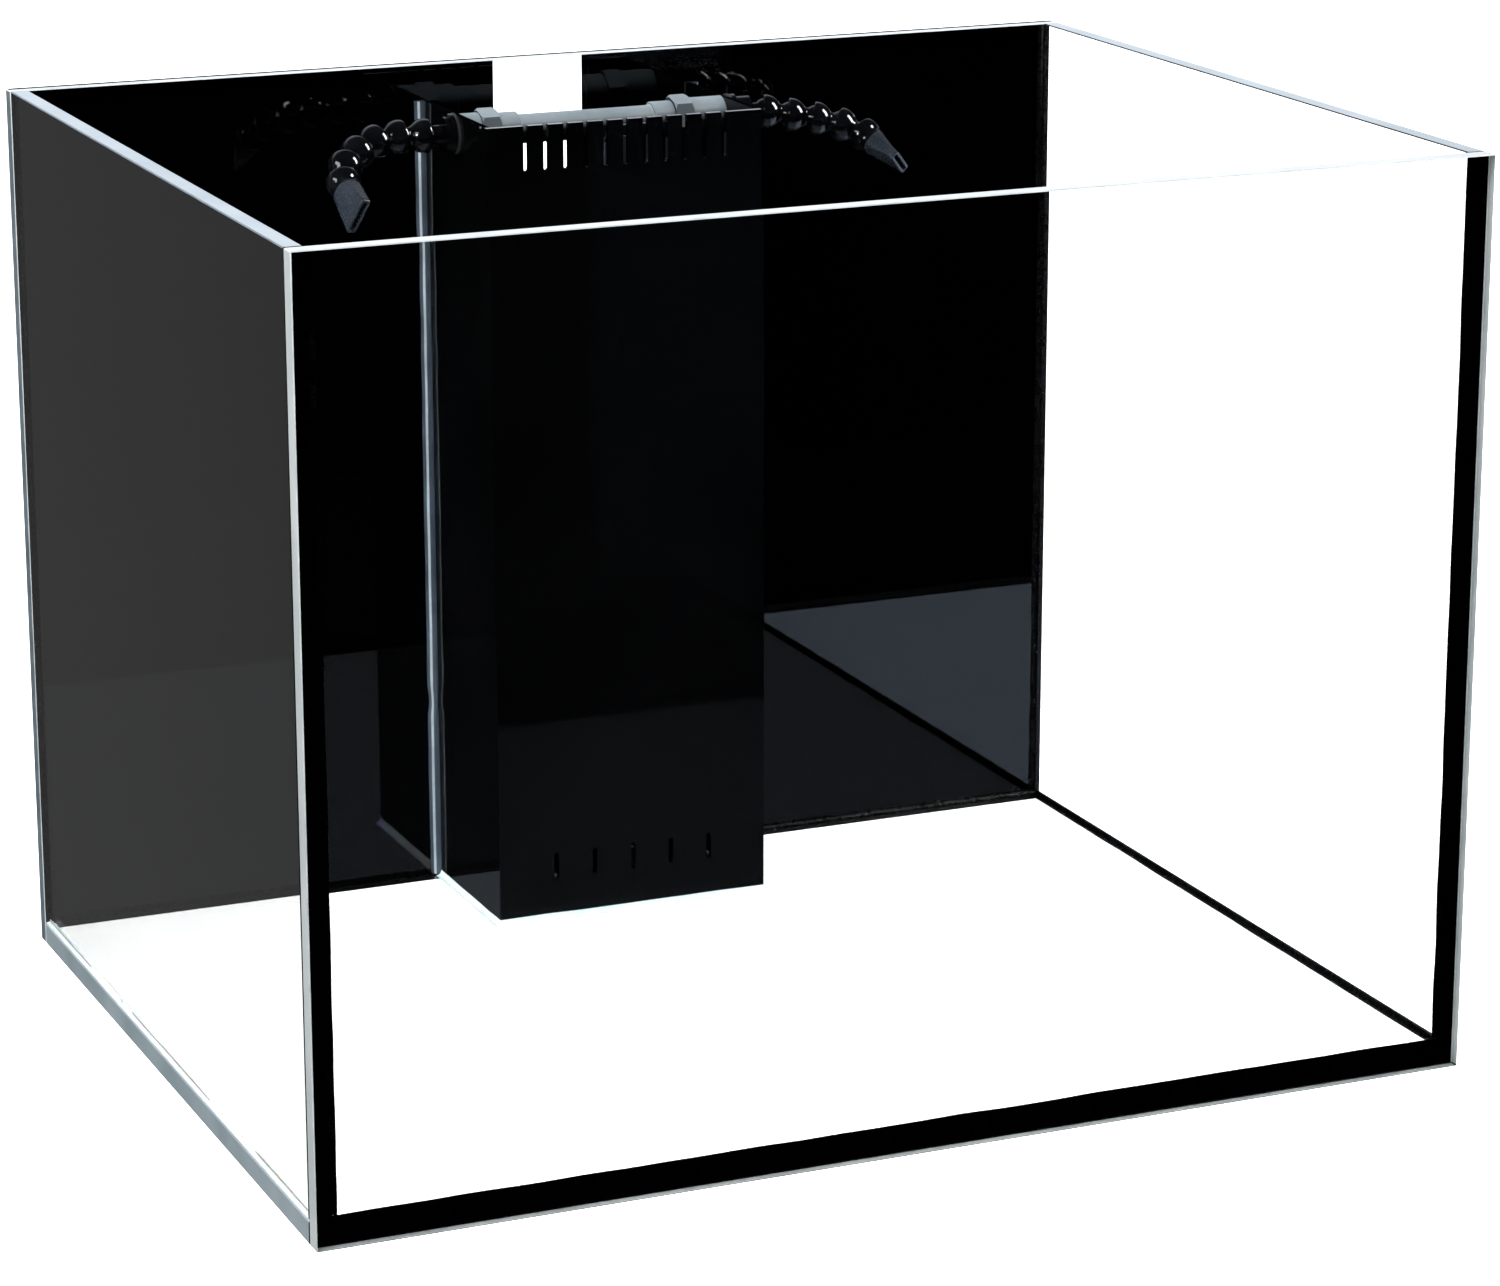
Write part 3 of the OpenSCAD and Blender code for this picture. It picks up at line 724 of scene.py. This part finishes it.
def floor_part(name, x0, x1, y0, y1, mirrored):
    stage_patch(name, x0, x1, y0, y1, -0.2 * MM, floor_material(name, mirrored))


BLACK, NEUTRAL, SHADED, LIT = (0, 0, 0), (0.088, 0.088, 0.088), (0.275, 0.31, 0.36), (0.9, 1.07, 1.35)
floor_part("floor_under", left_edge, right_edge, front_edge, back_edge, SHADED)
floor_part("floor_front", -FLOOR_REACH, FLOOR_REACH, -FLOOR_REACH, front_edge, BLACK)
floor_part("floor_left", -FLOOR_REACH, left_edge, front_edge, back_edge, NEUTRAL)
floor_part("floor_right", right_edge, FLOOR_REACH, front_edge, back_edge, LIT)
floor_part("floor_back_left", -FLOOR_REACH, left_edge, back_edge, FLOOR_REACH, NEUTRAL)
floor_part("floor_back", left_edge, FLOOR_REACH, back_edge, FLOOR_REACH, LIT)

# Hardly any light falls to the floor inside the overflow box. The shadow keeps clear of the walls that the
# camera sees, by what the bottom pane shifts it
SHIFT = 16 * MM
shadow = procedural(
    "floor_shadow", (0.001, 0.001, 0.001), (0.003, 0.003, 0.003), (0.8, 0.9), 10, 100, 0.01,
    Specular_IOR_Level=0.0,
)
stage_patch(
    "shadow_in_box", box_lo.x + SHIFT, box_hi.x - ACRYLIC, box_lo.y + SHIFT, inner_back, -0.1 * MM, shadow,
    lean=11 * MM,
)

# ---- Light ----

# White where the camera sees it, a cooler light that grows towards the zenith, and in reflections dark
# with a pale wall behind
SKY_LOW_HIGH = (0.1, 0.7)
WALL_DARK_PALE = (0.03, 1.1)
world = bpy.data.worlds.new("studio")
bpy.context.scene.world = world
world.use_nodes = True
world.cycles.sampling_method = "NONE"
tree = world.node_tree
seen = tree.nodes["Background"]
seen.inputs["Color"].default_value = (1, 1, 1, 1)
lighting = node_of(tree, "ShaderNodeBackground", Color=(0.93, 0.96, 1.0, 1))
wall = node_of(tree, "ShaderNodeBackground", Color=(0.85, 0.88, 1.0, 1))
direction = tree.nodes.new("ShaderNodeSeparateXYZ")
tree.links.new(tree.nodes.new("ShaderNodeTexCoord").outputs["Generated"], direction.inputs["Vector"])
sky = spread(tree, direction.outputs["Z"], *SKY_LOW_HIGH, -0.2, 0.8)
pale = spread(tree, direction.outputs["Y"], *WALL_DARK_PALE, 0.5, 0.9)
tree.links.new(sky, lighting.inputs["Strength"])
tree.links.new(pale, wall.inputs["Strength"])
lights_or_seen = tree.nodes.new("ShaderNodeMixShader")
tree.links.new(bounced(tree, "Diffuse Depth"), lights_or_seen.inputs["Fac"])
tree.links.new(seen.outputs["Background"], lights_or_seen.inputs[1])
tree.links.new(lighting.outputs["Background"], lights_or_seen.inputs[2])
mirrored_or_not = tree.nodes.new("ShaderNodeMixShader")
tree.links.new(bounced(tree, "Glossy Depth"), mirrored_or_not.inputs["Fac"])
tree.links.new(lights_or_seen.outputs["Shader"], mirrored_or_not.inputs[1])
tree.links.new(wall.outputs["Background"], mirrored_or_not.inputs[2])
tree.links.new(mirrored_or_not.outputs["Shader"], tree.nodes["World Output"].inputs["Surface"])


def softbox(name, place, aim, size, power, highlight=False):
    """A rectangular light of (width, height). A highlight is only seen as a gleam on glossy pieces, and
    the others only light the surfaces."""
    data = bpy.data.lights.new(name, "AREA")
    data.shape = "RECTANGLE"
    data.size, data.size_y = size
    data.energy = power
    made = bpy.data.objects.new(name, data)
    made.location = place
    made.rotation_euler = (Vector(aim) - Vector(place)).to_track_quat("-Z", "Y").to_euler()
    made.visible_camera = made.visible_transmission = False
    made.visible_glossy = highlight
    made.visible_diffuse = not highlight
    bpy.context.scene.collection.objects.link(made)


softbox("key", (-1.5, -1.1, 2.1), (0, 0.2, 0.5), (0.7, 0.7), 15)
softbox("top", (0.2, 0.3, 2.6), (0, 0.1, 0.5), (1.2, 1.2), 34)
softbox("side", (-2.6, 0.2, 0.9), (0, 0.1, 0.3), (0.8, 0.8), 40)
softbox("fill", (1.9, 0.6, 1.2), (0, 0.1, 0.5), (0.7, 0.7), 14)
softbox("gleam_right", (1.85, -0.6, 1.65), (0.2, 0.2, 0.55), (0.6, 1.5), 110, highlight=True)
softbox("gleam_left", (-1.7, -0.4, 0.75), (-0.15, 0.2, 0.55), (0.45, 0.45), 30, highlight=True)
softbox("gleam_broad", (-2.2, -0.3, 1.0), (-0.15, 0.2, 0.55), (1.3, 1.3), 42, highlight=True)
